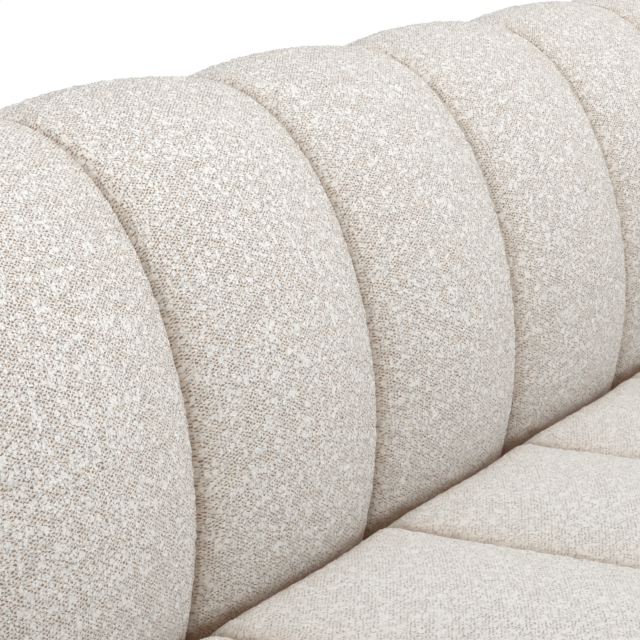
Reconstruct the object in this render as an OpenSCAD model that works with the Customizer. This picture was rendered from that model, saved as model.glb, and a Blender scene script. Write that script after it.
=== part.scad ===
// Channel-tufted tuxedo sofa: back and arms of one height, rolled over the top,
// with a tight channelled seat, a timber frame inside and a recessed plinth.
// X runs along the sofa, the sitter faces -Y, and the floor is Z = 0.

/* [Channels] */
// Width of a back or seat channel, seam to seam
channel_w = 215; // [200:5:230]
// Channels across the back, and as many across the seat
back_count = 8; // [6:1:8]
// Channels along each arm
arm_count = 3; // [2:1:3]
// Wedge-shaped channels round each back corner
corner_count = 2; // [2:1:2]
// How far a back, arm or corner channel swells past its seams, as a share of its width
swell_share = 0.163; // [0.133:0.005:0.173]
// How far a seat channel swells past its seams, as a share of its width
seat_swell_share = 0.125; // [0.095:0.005:0.135]
// How square a channel's crown is across its width: 1 is a parabola, less is fuller
crown_share = 0.8; // [0.7:0.05:1]
// Share of its swell that a channel loses where it crosses the top of the back or arm
crest_flat_share = 0.7; // [0.5:0.05:0.8]

/* [Back and arms] */
// Height of the seams where they cross the top of the back and arms
crest_z = 676; // [660:2:700]
// Height at which the back and arms bulge furthest over the seat
widest_z = 453; // [444:1:462]
// Thickness of the back and arms, inner seams to outer seams
roll_t = 238; // [230:2:250]
// Distance from the inner face of the back to its crest
crest_in = 125; // [119:1:128]
// Height above the bottom rails at which the inner cover ends behind the seat
tuck_over = 41; // [34:1:50]
// Angle round the curve under the widest point at which the inner cover ends
tuck_a = 65; // [60:1:70]
// Radius of the seams round the inside of a back corner
corner_r = 60; // [54:1:70]

/* [Seat] */
// Depth of the seat, from the inner face of the back to the front seams
seat_depth = 640; // [600:5:680]
// Height of the seat seams where they are highest
seat_z = 398; // [388:1:404]
// How much lower the seat seams are against the back
seat_drop = 7; // [0:1:14]
// Distance from the back to the highest part of the seat
seat_high_at = 480; // [450:5:500]
// Radius of the rolled front edge of the seat
seat_nose_r = 90; // [70:2:100]
// Radius of the rear edge of the seat
seat_rear_r = 32; // [28:1:40]
// How far the rear edge of the seat reaches in under the back
seat_rear_in = 10; // [6:1:10]

/* [Padding] */
// Thickness of a back, arm or corner channel at its seams
pad_t = 30; // [26:1:32]
// Thickness of a seat channel at its seams
seat_pad_t = 25; // [22:1:27]
// Thickness of the foam sheet over the ribs
foam_t = 30; // [26:1:32]
// Thickness of the seat foam where it hangs over the front rail
skirt_t = 28; // [24:1:34]
// Thickness of the padded panel on the front of an arm, to its rounded edge
facing_t = 30; // [24:1:34]
// Radius of the rounded edge of the arm's front panel
facing_edge_r = 18; // [14:1:22]
// Crown of the arm's front panel past its rounded edge
facing_crown = 12; // [8:1:18]

/* [Frame] */
// Height of the underside of the frame above the floor
frame_z = 80; // [70:2:90]
// Height of the bottom rails
rail_h = 150; // [144:1:154]
// Thickness of the bottom rails
rail_t = 28; // [22:1:32]
// Thickness of the plywood ribs and arm boards
ply_t = 18; // [15:1:21]
// Channels between one rib of the back and the next
rib_every = 2; // [1:1:2]
// Ribs in each arm
arm_rib_count = 3; // [2:1:4]
// Width of the top rail across the back or arm
top_rail_w = 40; // [34:2:46]
// Height of the top rail
top_rail_h = 55; // [45:1:65]
// Width of a cross rail under the seat
cross_w = 44; // [36:1:60]
// Height of a cross rail under the seat
cross_h = 90; // [70:1:110]
// Leg of a triangular corner block
block_leg = 90; // [70:1:110]
// Height of a corner block
block_h = 60; // [40:1:80]

/* [Springing] */
// Width of an elastic belt
belt_w = 60; // [50:1:70]
// Thickness of an elastic belt
belt_t = 2; // [1.5:0.1:2.5]
// Belts across the seat from arm to arm
cross_belt_count = 5; // [3:1:6]

/* [Base] */
// How far the plinth stands back from the seams above it
plinth_in = 72; // [64:1:90]
// Thickness of the plinth boards
plinth_t = 24; // [20:1:28]
// Height of a glide under the plinth
glide_h = 8; // [5:1:12]
// Diameter of a glide
glide_d = 22; // [16:1:24]
// Thickness of the black cloth under the frame
cloth_t = 1; // [0.6:0.1:1.4]

/* [Hidden] */
// Clearance at a seam between two soft pieces
seam_gap = 0.5;
// Clearance between a soft piece and what it is wrapped over
wrap_gap = 0.6;
// Clearance at a glued joint of the frame
fit_gap = 0.2;
// Steps of the outline: under the widest point, each quarter of the roll, down the outside
low_steps = 3;
top_steps = 5;
drop_steps = 1;
// Steps across a straight channel and across a wedge channel
across_steps = 6;
wedge_steps = 4;
// Steps of the seat outline: rear edge, top and front edge
rear_steps = 3;
flat_steps = 3;
nose_steps = 5;
// Height that the seat channel runs down behind its rear edge, as a share of that edge's radius
rear_skirt_share = 0.6;
// Rings of the arm's front panel past its rounded edge: inset and crown, as shares
facing_inset_shares = [0.25, 0.55, 0.85];
facing_crown_shares = [0.55, 0.9, 1];
// Share of an elastic belt's pitch that the outermost belt stands in from the rail
belt_edge_share = 0.5;
// Share of the seat's half width at which a cross rail stands
cross_at_share = 0.36;
// Share of the roll's inner quarter up which the back belts run
back_belt_share = 0.6;
// Overrun of a cutting shape
cut = 5;
$fn = 96;

half_w = back_count * channel_w / 2;
arm_x = half_w + corner_r;
wedge_a = 90 / corner_count;
back_swell = swell_share * channel_w;
seat_swell = seat_swell_share * channel_w;
total_d = seat_depth + seat_swell + roll_t + back_swell;
back_y = total_d / 2 - back_swell - roll_t;
front_y = back_y - seat_depth;
axis_y = back_y - corner_r;
arm_pitch = (seat_depth - corner_r - facing_t) / arm_count;
arm_swell = swell_share * arm_pitch;
rail_top = frame_z + rail_h;
// Half height of the curve that tucks the inner face in under its widest point
belly_h = (widest_z - rail_top - tuck_over) / sin(tuck_a);
rib_in = pad_t + foam_t + wrap_gap;
// A wedge channel is made of flat strips, which cut in under the true arc by this much
wedge_loss = (corner_r + roll_t) * (1 - cos(wedge_a / wedge_steps / 2));
// The seat channels rise to the front in straight steps, which sink in by this much
seat_bow = seat_drop * pow((seat_depth - seat_nose_r) / flat_steps / seat_high_at, 2) / 4;
// The bent top rail is straight where it crosses the rib, and drifts by this much
bend_r = corner_r + crest_in - top_rail_w / 2;
bend_loss = bend_r - sqrt(pow(bend_r, 2) - pow(ply_t / 2, 2));
inner_reach = min(crest_in, roll_t - crest_in) - rib_in;
// The roll is straight from step to step, which cuts in under its true curve by this much
roll_bow = (crest_z - widest_z) * (1 - cos(45 / top_steps));
top_rail_z = widest_z - fit_gap - roll_bow
    + (crest_z - widest_z - rib_in) * sqrt(1 - pow(top_rail_w / 2 / inner_reach, 2));
seat_side = arm_x - arm_swell - seam_gap - wrap_gap;
front_rail_y = front_y + seat_pad_t + wrap_gap + skirt_t + fit_gap;
board_y = front_y + facing_t + seam_gap;

function back_names() = [for (i = [1:back_count]) str("back_channel_", i)];
function seat_names() = [for (i = [1:back_count]) str("seat_channel_", i)];
function sided(name, count) =
    [for (side = ["left", "right"], i = [1:count]) str(name, "_", side, "_", i)];

// Outline of the roll. A station is an angle round the roll, from under its inner face
// over the crest to its outer face, and a share of the way down that outer face. k is a
// distance out from the seams, and below zero in towards the frame.
function roll_at(s, k) =
    let (reach = s[0] > 90 ? roll_t - crest_in : crest_in,
         rise = s[0] < 0 ? belly_h : crest_z - widest_z)
    [crest_in - (reach + k) * cos(s[0]),
     widest_z + (rise + k) * sin(s[0]) - s[1] * (widest_z - frame_z)];

roll_stations = concat(
    [for (i = [0:low_steps - 1]) [-tuck_a * (1 - i / low_steps), 0]],
    [for (i = [0:2 * top_steps]) [90 * i / top_steps, 0]],
    [for (i = [1:drop_steps]) [180, i / drop_steps]]);

function roll_line(k) = [for (s = roll_stations) roll_at(s, k)];
function flipped(list) = [for (i = [1:len(list)]) list[len(list) - i]];

// How far a channel stands proud of its seams, at q from -1 at one seam to 1 at the other
function crown(q) = pow(1 - q * q, crown_share);
// Share of that which it keeps at a station of the roll: none where it is tucked in
function swell_kept(s) =
    s[0] > -tuck_a ? 1 - crest_flat_share * pow(max(0, sin(s[0])), 2) : 0;

// Triangles of a tube of rings, closed at each end by the triangles in end
function tube_faces(rings, points, end) = concat(
    [for (i = [0:rings - 2], j = [0:points - 1])
        [i * points + j, (i + 1) * points + (j + 1) % points, i * points + (j + 1) % points]],
    [for (i = [0:rings - 2], j = [0:points - 1])
        [i * points + j, (i + 1) * points + j, (i + 1) * points + (j + 1) % points]],
    end,
    [for (t = end) [for (v = flipped(t)) (rings - 1) * points + v]]);

module skin(rings, end) {
    polyhedron([for (r = rings) each r], tube_faces(len(rings), len(rings[0]), end));
}

// End of a round ring, as a fan
function fan_end(points) = [for (j = [1:points - 2]) [0, j, j + 1]];

// End of a sleeve, as a strip between a points across its face and b across its back
function strip_match(j, a, b) = floor((b - 1) * (j + 0.5) / (a - 1) + 0.5);
function strip_turn(i, a, b) =
    min(concat([a - 1], [for (j = [0:a - 2]) if (strip_match(j, a, b) > i) j]));
function strip_end(a, b) = concat(
    [for (j = [0:a - 2]) [j, j + 1, a + b - 1 - strip_match(j, a, b)]],
    [for (i = [0:b - 2]) [strip_turn(i, a, b), a + b - 2 - i, a + b - 1 - i]]);

// A stuffed sleeve that runs up the inner face, over the crest and down the outside.
// Its seams lie half a width each side of x = 0, and its inner face is at y = 0.
module straight_channel(w) {
    side = w / 2 - seam_gap / 2;
    skin([for (s = roll_stations) concat(
        [for (j = [0:across_steps]) let (q = 2 * j / across_steps - 1,
            p = roll_at(s, swell_share * w * swell_kept(s) * crown(q)))
            [side * q, p[0], p[1]]],
        [for (q = [1, -1]) let (p = roll_at(s, -pad_t)) [side * q, p[0], p[1]]])],
        strip_end(across_steps + 1, 2));
}

// A wedge-shaped sleeve of the corner fan, between two angles about the corner's axis.
// It swells with its width, so it is narrow and flat inside and full outside.
module wedge_channel(number) {
    mid = wedge_a * (number - 0.5);
    skin([for (s = roll_stations)
        let (seam_r = corner_r + roll_at(s, 0)[0],
             swell = swell_share * swell_kept(s) * seam_r * wedge_a * PI / 180)
        concat(
            [for (j = [0:wedge_steps])
                wedge_point(s, swell * crown(2 * j / wedge_steps - 1), mid, j)],
            [for (j = [0:wedge_steps]) wedge_point(s, -pad_t, mid, wedge_steps - j)])],
        strip_end(wedge_steps + 1, wedge_steps + 1));
}

function wedge_point(s, k, mid, j) =
    let (p = roll_at(s, k), r = corner_r + p[0], q = 2 * j / wedge_steps - 1,
         a = mid + q * (wedge_a / 2 - asin(seam_gap / 2 / r)))
    [r * sin(a), r * cos(a), p[1]];

module back_channel(number) {
    color("linen") translate([(number - 0.5) * channel_w - half_w, back_y, 0])
        straight_channel(channel_w);
}

module on_side(side) {
    mirror([side == "left" ? 1 : 0, 0, 0]) children();
}

module corner_channel(side, number) {
    color("linen") on_side(side) translate([half_w, axis_y, 0]) wedge_channel(number);
}

module arm_channel(side, number) {
    color("linen") on_side(side)
        translate([arm_x, axis_y - (number - 0.5) * arm_pitch, 0])
            rotate([0, 0, -90]) straight_channel(arm_pitch);
}

// Padded panel that closes the front of an arm, with a rounded edge and a low crown.
// Its sides run straight down from the widest point to the underside of the frame.
function facing_ring(inset, y) = concat(
    [for (i = [0:2 * top_steps]) let (p = roll_at([90 * i / top_steps, 0], -inset))
        [p[0], y, p[1]]],
    [[roll_t - inset, y, frame_z + inset], [inset, y, frame_z + inset]]);

module arm_facing(side) {
    middle = min(crest_in, roll_t - crest_in) - facing_edge_r;
    color("linen") on_side(side) translate([arm_x, front_y, 0]) skin(flipped(concat(
        [facing_ring(0, facing_t), facing_ring(0, facing_edge_r)],
        [for (a = [30, 60, 90])
            facing_ring(facing_edge_r * (1 - cos(a)), facing_edge_r * (1 - sin(a)))],
        [for (i = [0:len(facing_inset_shares) - 1])
            facing_ring(facing_edge_r + middle * facing_inset_shares[i],
                        -facing_crown * facing_crown_shares[i])])),
        fan_end(2 * top_steps + 3));
}

// Outline of the seat, as a distance out from the back and a height, with the direction
// in which it swells. lead is how far the channel of the back stands out there.
function seat_height(d) =
    seat_z - seat_drop * pow(max(0, 1 - d / seat_high_at), 2);

function seat_line(lead) =
    let (c = lead - seat_rear_in + seat_rear_r, flat_end = seat_depth - seat_nose_r,
         top = seat_height(c))
    concat(
        [[c - seat_rear_r, top - seat_rear_r * (1 + rear_skirt_share), -1, 0]],
        [for (i = [0:rear_steps]) let (a = 180 - 90 * i / rear_steps)
            [c + seat_rear_r * cos(a), top - seat_rear_r * (1 - sin(a)), cos(a), sin(a)]],
        [for (i = [1:flat_steps]) let (d = c + (flat_end - c) * i / flat_steps)
            [d, seat_height(d), 0, 1]],
        [for (i = [1:nose_steps]) let (a = 90 - 90 * i / nose_steps)
            [flat_end + seat_nose_r * cos(a), seat_z - seat_nose_r * (1 - sin(a)),
             cos(a), sin(a)]],
        [[seat_depth, frame_z, 1, 0]]);

// How far the inner face of the back or of the corner fan stands out over the seat at x
function back_lead(x) =
    let (ax = abs(x), place = ax / channel_w + back_count / 2,
         q = 2 * (place - floor(place)) - 1,
         fan_r = corner_r * (1 - swell_share * wedge_a * PI / 180))
    ax > half_w ? corner_r - sqrt(pow(fan_r, 2) - pow(ax - half_w, 2))
                : back_swell * crown(q);

// How far the arm stands out over the side of the seat at distance d from the back
function arm_lead(d) =
    let (q = (seat_depth - facing_t - d) / arm_pitch * 2 - 1)
    d <= seat_depth - seat_nose_r ? arm_swell
        : d >= seat_depth - facing_t ? 0 : arm_swell * crown(q);

// A seat channel between two seams. The outer seam of an end channel follows the arm.
module seat_sleeve(x0, x1, at_arm) {
    columns = [for (j = [0:across_steps]) 2 * j / across_steps - 1];
    lines = [for (q = columns) seat_line(back_lead(across(x0, x1, q)))];
    last = len(lines[0]) - 1;
    skin([for (i = [last:-1:0]) concat(
        [for (j = [0:across_steps])
            seat_point(lines[j][i], columns[j], x0, x1, at_arm,
                       seat_swell * crown(columns[j]))],
        [for (j = [across_steps, across_steps / 2, 0])
            seat_point(lines[j][i], columns[j], x0, x1, at_arm, -seat_pad_t)])],
        strip_end(across_steps + 1, 3));
}

function across(x0, x1, q) = (x0 + x1) / 2 + (x1 - x0) / 2 * q;

// k is a swell out from the seams, or below zero an inset. Against the back the channel
// swells upwards only.
function seat_point(p, q, x0, x1, at_arm, k) =
    let (edge = at_arm ? arm_x - seam_gap - wrap_gap - arm_lead(p[0]) : x1,
         out = k > 0 ? max(0, p[2]) : p[2])
    [across(x0, edge, q), back_y - p[0] - out * k, p[1] + p[3] * k];

module seat_channel(number) {
    right = number > back_count / 2;
    place = right ? number : back_count + 1 - number;
    x0 = (place - 1) * channel_w - half_w + seam_gap / 2;
    at_arm = place == back_count;
    x1 = at_arm ? seat_side : x0 + channel_w - seam_gap;
    color("linen") on_side(right ? "right" : "left") seat_sleeve(x0, x1, at_arm);
}

// Block of seat foam on the belts, with a skirt that hangs over the front rail
module seat_foam() {
    line = [for (p = seat_line(back_swell)) [
        back_y - p[0] + p[2] * (seat_pad_t + wrap_gap),
        p[1] - p[3] * (seat_pad_t + wrap_gap + seat_bow)]];
    under = rail_top + 2 * belt_t + fit_gap;
    inner_y = front_rail_y - fit_gap;
    top = [for (i = [1:len(line) - 1]) line[i]];
    color("khaki") translate([-seat_side + wrap_gap, 0, 0]) rotate([90, 0, 90])
        linear_extrude(2 * (seat_side - wrap_gap)) polygon(concat(
            [[line[1][0], under]], top, [[inner_y, frame_z], [inner_y, under]]));
}

// Foam sheet that is bent over the ribs and ends under the seat and at the frame
module foam_section(outer) {
    polygon(concat(roll_line(-outer), flipped(roll_line(-pad_t - foam_t))));
}

module along_back(length) {
    translate([-length / 2, back_y, 0]) rotate([90, 0, 90]) linear_extrude(length) children();
}

module round_corner(side) {
    on_side(side) translate([half_w, axis_y, 0]) rotate_extrude(angle = 90)
        translate([corner_r, 0]) children();
}

module along_arm(side, y0, length) {
    on_side(side) translate([arm_x, y0 + length, 0]) rotate([90, 0, 0])
        linear_extrude(length) children();
}

module back_foam() {
    color("khaki") along_back(2 * half_w - seam_gap) foam_section(pad_t + wrap_gap);
}

module corner_foam(side) {
    color("khaki") round_corner(side) foam_section(pad_t + wrap_gap + wedge_loss);
}

module arm_foam(side) {
    start = board_y + ply_t + fit_gap;
    color("khaki") along_arm(side, start, axis_y - start - seam_gap)
        foam_section(pad_t + wrap_gap);
}

// Outline of a plywood former: the roll drawn in by inset, closed down to the frame
function former_line(inset) = concat(
    roll_line(-inset),
    [[inset, frame_z], [inset, rail_top], [roll_line(-inset)[0][0], rail_top]]);

module rib_section(slack) {
    difference() {
        polygon(former_line(rib_in));
        translate([rib_in - cut, frame_z - cut])
            square([rail_t + cut + fit_gap, rail_h + cut + fit_gap]);
        translate([roll_t - rib_in - rail_t - fit_gap, frame_z - cut])
            square([rail_t + cut + fit_gap, rail_h + cut + fit_gap]);
        translate([crest_in - top_rail_w / 2 - slack, top_rail_z - top_rail_h - fit_gap])
            square([top_rail_w + 2 * slack, crest_z]);
    }
}

module back_ribs() {
    edge = half_w - ply_t / 2 - seam_gap;
    seams = [for (i = [0:rib_every:back_count]) i];
    stops = back_count % rib_every == 0 ? seams : concat(seams, [back_count]);
    color("burlywood") for (i = stops)
        translate([max(-edge, min(edge, i * channel_w - half_w)), 0, 0])
            along_back(ply_t) rib_section(fit_gap);
}

module arm_ribs(side) {
    start = board_y + ply_t + fit_gap;
    run = axis_y - start - ply_t - seam_gap;
    color("burlywood") for (i = [1:arm_rib_count])
        along_arm(side, start + run * i / arm_rib_count, ply_t) rib_section(fit_gap);
}

// The rib on the diagonal of a corner stands on the rails that meet under it
module corner_ribs() {
    color("burlywood") for (side = ["left", "right"])
        on_side(side) translate([half_w, axis_y, 0]) rotate([0, 0, -45])
            translate([-ply_t / 2, corner_r, 0]) rotate([90, 0, 90])
                linear_extrude(ply_t) difference() {
                    rib_section(fit_gap + bend_loss);
                    translate([0, frame_z - cut]) square([roll_t, rail_h + cut + fit_gap]);
                }
}

module arm_board(side) {
    color("tan") along_arm(side, board_y, ply_t) polygon(former_line(pad_t + wrap_gap));
}

module rail_section(u) {
    translate([u, frame_z]) square([rail_t, rail_h]);
}

module top_rail_section() {
    translate([crest_in - top_rail_w / 2, top_rail_z - top_rail_h])
        square([top_rail_w, top_rail_h]);
}

module back_rail() {
    color("peru") along_back(2 * (half_w - fit_gap))
        rail_section(roll_t - rib_in - rail_t);
}

module side_rail(side) {
    start = board_y + ply_t + fit_gap;
    color("peru") along_arm(side, start, axis_y - start - fit_gap)
        rail_section(roll_t - rib_in - rail_t);
}

module corner_rails() {
    color("peru") for (side = ["left", "right"])
        round_corner(side) rail_section(roll_t - rib_in - rail_t);
}

// The rear rail of the seat runs on until it meets the bent corner rails
module seat_back_rail() {
    bend = corner_r + roll_t - rib_in - rail_t - fit_gap;
    reach = half_w + sqrt(pow(bend, 2) - pow(corner_r + rib_in + rail_t, 2));
    color("peru") along_back(2 * reach) rail_section(rib_in);
}

module seat_side_rail(side) {
    start = board_y + ply_t + fit_gap;
    color("peru") along_arm(side, start, back_y + rib_in - fit_gap - start)
        rail_section(rib_in);
}

module front_rail() {
    half = arm_x + rib_in - fit_gap;
    color("peru") translate([-half, front_rail_y, frame_z]) cube([2 * half, rail_t, rail_h]);
}

module back_top_rail() {
    color("peru") along_back(2 * (half_w - fit_gap)) top_rail_section();
}

module arm_top_rail(side) {
    start = board_y + ply_t + fit_gap;
    color("peru") along_arm(side, start, axis_y - start - fit_gap) top_rail_section();
}

module corner_top_rails() {
    color("peru") for (side = ["left", "right"]) round_corner(side) top_rail_section();
}

module cross_rails() {
    start = front_rail_y + rail_t + fit_gap;
    color("peru") for (s = [-1, 1])
        translate([s * half_w * cross_at_share - cross_w / 2, start, frame_z])
            cube([cross_w, back_y + rib_in - fit_gap - start, cross_h]);
}

// Triangular blocks glued in where the rails under the seat meet
module corner_blocks() {
    x = arm_x + rib_in - fit_gap;
    color("burlywood") for (side = ["left", "right"]) on_side(side) {
        translate([x, front_rail_y + rail_t + fit_gap, rail_top - block_h])
            linear_extrude(block_h) polygon([[0, 0], [-block_leg, 0], [0, block_leg]]);
        translate([x, back_y + rib_in - fit_gap, rail_top - block_h])
            linear_extrude(block_h) polygon([[0, 0], [-block_leg, 0], [0, -block_leg]]);
    }
}

// Elastic belts stapled to the rails: front to back first, then arm to arm over them
module seat_webbing() {
    y0 = front_rail_y + fit_gap;
    y1 = back_y + rib_in + rail_t;
    x1 = arm_x + rib_in + rail_t;
    pitch = (back_y - y0) / cross_belt_count;
    color("dimgray") {
        for (i = [1:back_count])
            translate([(i - 0.5) * channel_w - half_w - belt_w / 2, y0, rail_top])
                cube([belt_w, y1 - y0, belt_t]);
        for (i = [0:cross_belt_count - 1])
            translate([-x1, y0 + pitch * (i + belt_edge_share) - belt_w / 2,
                       rail_top + belt_t + fit_gap])
                cube([2 * x1, belt_w, belt_t]);
    }
}

// One belt behind each channel of the back, against the foam
module back_webbing() {
    count = low_steps + floor(top_steps * back_belt_share);
    inner = pad_t + foam_t + fit_gap;
    line = [for (i = [0:count]) roll_at(roll_stations[i], -inner)];
    behind = [for (i = [0:count]) roll_at(roll_stations[i], -inner - belt_t)];
    color("dimgray") for (i = [1:back_count])
        translate([(i - 0.5) * channel_w - half_w, 0, 0]) along_back(belt_w)
            polygon(concat(line, flipped(behind)));
}

// Black cloth stapled under the rails
module dust_cover() {
    out = roll_t - pad_t - foam_t / 2;
    color("black") translate([0, 0, frame_z - cloth_t]) linear_extrude(cloth_t) union() {
        translate([-arm_x - out, front_rail_y])
            square([2 * (arm_x + out), axis_y - front_rail_y]);
        translate([-half_w, axis_y - cut]) square([2 * half_w, corner_r + out + cut]);
        for (s = [-1, 1]) translate([s * half_w, axis_y]) circle(corner_r + out);
    }
}

// Plinth: straight boards with bent pieces round the back corners
module plinth_boards() {
    h = frame_z - cloth_t - glide_h;
    u = roll_t - plinth_in - plinth_t;
    front = front_y + plinth_in;
    color("saddlebrown") translate([0, 0, glide_h]) {
        translate([-half_w, back_y + u, 0]) cube([2 * half_w - fit_gap, plinth_t, h]);
        for (side = ["left", "right"]) on_side(side) {
            translate([half_w, axis_y, 0]) rotate_extrude(angle = 90)
                translate([corner_r + u, 0]) square([plinth_t, h]);
            translate([arm_x + u, front + plinth_t + fit_gap, 0])
                cube([plinth_t, axis_y - front - plinth_t - 2 * fit_gap, h]);
        }
        translate([-arm_x - u - plinth_t, front, 0])
            cube([2 * (arm_x + u + plinth_t), plinth_t, h]);
    }
}

module glide() {
    rotate_extrude() polygon([
        [0, 0], [glide_d / 2 - glide_h / 4, 0], [glide_d / 2, glide_h], [0, glide_h]]);
}

module glides() {
    u = roll_t - plinth_in - plinth_t / 2;
    front = front_y + plinth_in + plinth_t / 2;
    color("dimgray") for (s = [-1, 1]) {
        translate([s * (arm_x + u), front, 0]) glide();
        translate([s * half_w * cross_at_share, front, 0]) glide();
        translate([s * (arm_x + u), axis_y - glide_d, 0]) glide();
        translate([s * (half_w - glide_d), back_y + u, 0]) glide();
    }
}

for (i = [1:back_count]) {
    back_channel(i);
    seat_channel(i);
}
for (side = ["left", "right"]) {
    for (i = [1:corner_count])
        corner_channel(side, i);
    for (i = [1:arm_count])
        arm_channel(side, i);
    arm_facing(side);
    corner_foam(side);
    arm_foam(side);
    seat_side_rail(side);
    side_rail(side);
    arm_ribs(side);
    arm_top_rail(side);
    arm_board(side);
}
seat_foam();
back_foam();
front_rail();
seat_back_rail();
back_rail();
corner_rails();
cross_rails();
corner_blocks();
back_ribs();
corner_ribs();
back_top_rail();
corner_top_rails();
seat_webbing();
back_webbing();
dust_cover();
plinth_boards();
glides();
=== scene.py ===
import math

import bpy
import numpy as np
from mathutils import Matrix, Vector


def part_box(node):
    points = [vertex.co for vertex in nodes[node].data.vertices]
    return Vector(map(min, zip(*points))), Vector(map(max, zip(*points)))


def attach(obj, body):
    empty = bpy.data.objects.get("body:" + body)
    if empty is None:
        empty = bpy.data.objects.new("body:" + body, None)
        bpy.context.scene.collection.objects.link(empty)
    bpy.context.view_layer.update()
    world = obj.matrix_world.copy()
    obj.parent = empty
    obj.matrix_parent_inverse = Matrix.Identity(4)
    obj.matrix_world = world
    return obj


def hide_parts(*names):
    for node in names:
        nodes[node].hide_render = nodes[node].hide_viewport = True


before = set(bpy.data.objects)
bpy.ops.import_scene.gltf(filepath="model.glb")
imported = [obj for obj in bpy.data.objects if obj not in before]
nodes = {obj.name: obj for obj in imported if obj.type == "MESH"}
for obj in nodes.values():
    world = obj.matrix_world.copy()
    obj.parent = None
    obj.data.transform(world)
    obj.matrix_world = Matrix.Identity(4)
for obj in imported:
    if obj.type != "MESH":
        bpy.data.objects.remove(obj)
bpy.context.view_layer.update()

# Bottom rails, top rails and cross rails: planed beech, sawn to width and dowelled together,
# with the bent pieces round the back corners laminated. Nothing of them shows once covered.


class Wire:
    """An output of a node. Sums of wires and numbers add Math nodes."""

    def __init__(self, finish, socket):
        self.finish = finish
        self.socket = socket

    def maths(self, operation, *values):
        return self.finish.node(
            "Math", {"operation": operation}, dict(enumerate(values)))

    def __add__(self, other):
        return self.maths("ADD", self, other)

    def __sub__(self, other):
        return self.maths("SUBTRACT", self, other)

    def __rsub__(self, other):
        return self.maths("SUBTRACT", other, self)

    def __mul__(self, other):
        return self.maths("MULTIPLY", self, other)

    def __pow__(self, other):
        return self.maths("POWER", self, other)

    __radd__ = __add__
    __rmul__ = __mul__

    def most(self, other):
        return self.maths("MAXIMUM", self, other)

    def cosine(self):
        return self.maths("COSINE", self)

    def between(self, low, high):
        """0 at low and under it, 1 at high and over it, eased between them."""
        return self.finish.node(
            "MapRange", {"interpolation_type": "SMOOTHSTEP"},
            {"Value": self, "From Min": low, "From Max": high})


class Finish:
    """A material, or the world, while it is made. node() adds any node and gives its
    output."""

    def __init__(self, name, kind=bpy.data.materials):
        self.data = kind.new(name)
        self.data.use_nodes = True
        self.tree = self.data.node_tree
        self.tree.nodes.clear()

    def node(self, kind, settings=None, inputs=None, output=0):
        made = self.tree.nodes.new("ShaderNode" + kind)
        for name, value in (settings or {}).items():
            setattr(made, name, value)
        for name, value in (inputs or {}).items():
            if isinstance(value, Wire):
                self.tree.links.new(value.socket, made.inputs[name])
            else:
                made.inputs[name].default_value = value
        return Wire(self, made.outputs[output]) if made.outputs else None

    def place(self):
        return self.node("TexCoord", output="Object")

    def stretched(self, place, scale):
        return self.node("Mapping", None, {"Vector": place, "Scale": scale})

    def noise(self, place, scale, detail=2.0, roughness=0.5, output="Fac"):
        return self.node("TexNoise", None, {
            "Vector": place, "Scale": scale, "Detail": detail,
            "Roughness": roughness}, output)

    def mixed(self, share, low, high):
        """A colour from low, where share is 0, to high, where it is 1."""
        return self.node("Mix", {"data_type": "RGBA"}, {0: share, 6: low, 7: high}, 2)

    def surface(self, colour, roughness, height=None, depth=0.0, fixed=None):
        """The shader: colour, roughness and height may vary, and fixed values don't."""
        inputs = {"Base Color": colour, "Roughness": roughness}
        if height is not None:
            inputs["Normal"] = self.node(
                "Bump", None, {"Height": height, "Distance": depth, "Strength": 1.0})
        inputs.update(fixed or {})
        shader = self.node("BsdfPrincipled", None, inputs)
        self.node("OutputMaterial", None, {"Surface": shader})
        return self.data


def timber_finish(name, pale, dark, grain_along, roughness):
    """Planed wood, with its grain along one axis of the object."""
    finish = Finish(name)
    squeeze = [60.0, 60.0, 60.0]
    squeeze[grain_along] = 2.5
    place = finish.place()
    streak = finish.noise(finish.stretched(place, squeeze), 1.0, 6.0, 0.6)
    fleck = finish.noise(finish.stretched(place, [v * 6 for v in squeeze]), 1.0, 2.0)
    shade = streak.between(0.3, 0.7) * 0.8 + fleck.between(0.55, 0.75) * 0.2
    return finish.surface(finish.mixed(shade, pale, dark), shade * 0.15 + roughness,
                          streak, 0.0006)


BEECH_PALE = (0.62, 0.43, 0.26, 1.0)
BEECH_DARK = (0.47, 0.29, 0.155, 1.0)
rails_along_x = timber_finish("beech_along_sofa", BEECH_PALE, BEECH_DARK,
                              grain_along=0, roughness=0.55)
rails_along_y = timber_finish("beech_front_to_back", BEECH_PALE, BEECH_DARK,
                              grain_along=1, roughness=0.55)


def dress(names, material):
    """Gives CAD nodes their material."""
    for name in names:
        nodes[name].data.materials.clear()
        nodes[name].data.materials.append(material)


SIDES = ("left", "right")
dress(["front_rail", "seat_back_rail", "back_rail", "back_top_rail", "corner_rails",
       "corner_top_rails"], rails_along_x)
dress(["cross_rails"] + [f"{rail}_{side}" for side in SIDES
                         for rail in ("seat_side_rail", "side_rail", "arm_top_rail")],
      rails_along_y)

# Ribs, arm boards and corner blocks: birch plywood, cut to the section of the back and
# slotted over the rails. Its edges show the pale and dark layers.

PLY_PALE = (0.68, 0.5, 0.31, 1.0)
PLY_DARK = (0.46, 0.3, 0.16, 1.0)


def plywood_finish():
    finish = Finish("birch_plywood")
    place = finish.place()
    layers = finish.node("TexWave", {"bands_direction": "X"}, {
        "Vector": place, "Scale": 105.0, "Distortion": 0.4, "Detail Scale": 3.0})
    grain = finish.noise(finish.stretched(place, (40.0, 8.0, 40.0)), 1.0, 5.0, 0.6)
    shade = layers.between(0.35, 0.65) * 0.35 + grain.between(0.3, 0.75) * 0.5
    return finish.surface(finish.mixed(shade, PLY_PALE, PLY_DARK), grain * 0.2 + 0.5,
                          grain, 0.0004)


plywood = plywood_finish()
dress(["back_ribs", "corner_ribs", "corner_blocks"]
      + [f"{board}_{side}" for side in SIDES for board in ("arm_ribs", "arm_board")],
      plywood)

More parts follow.
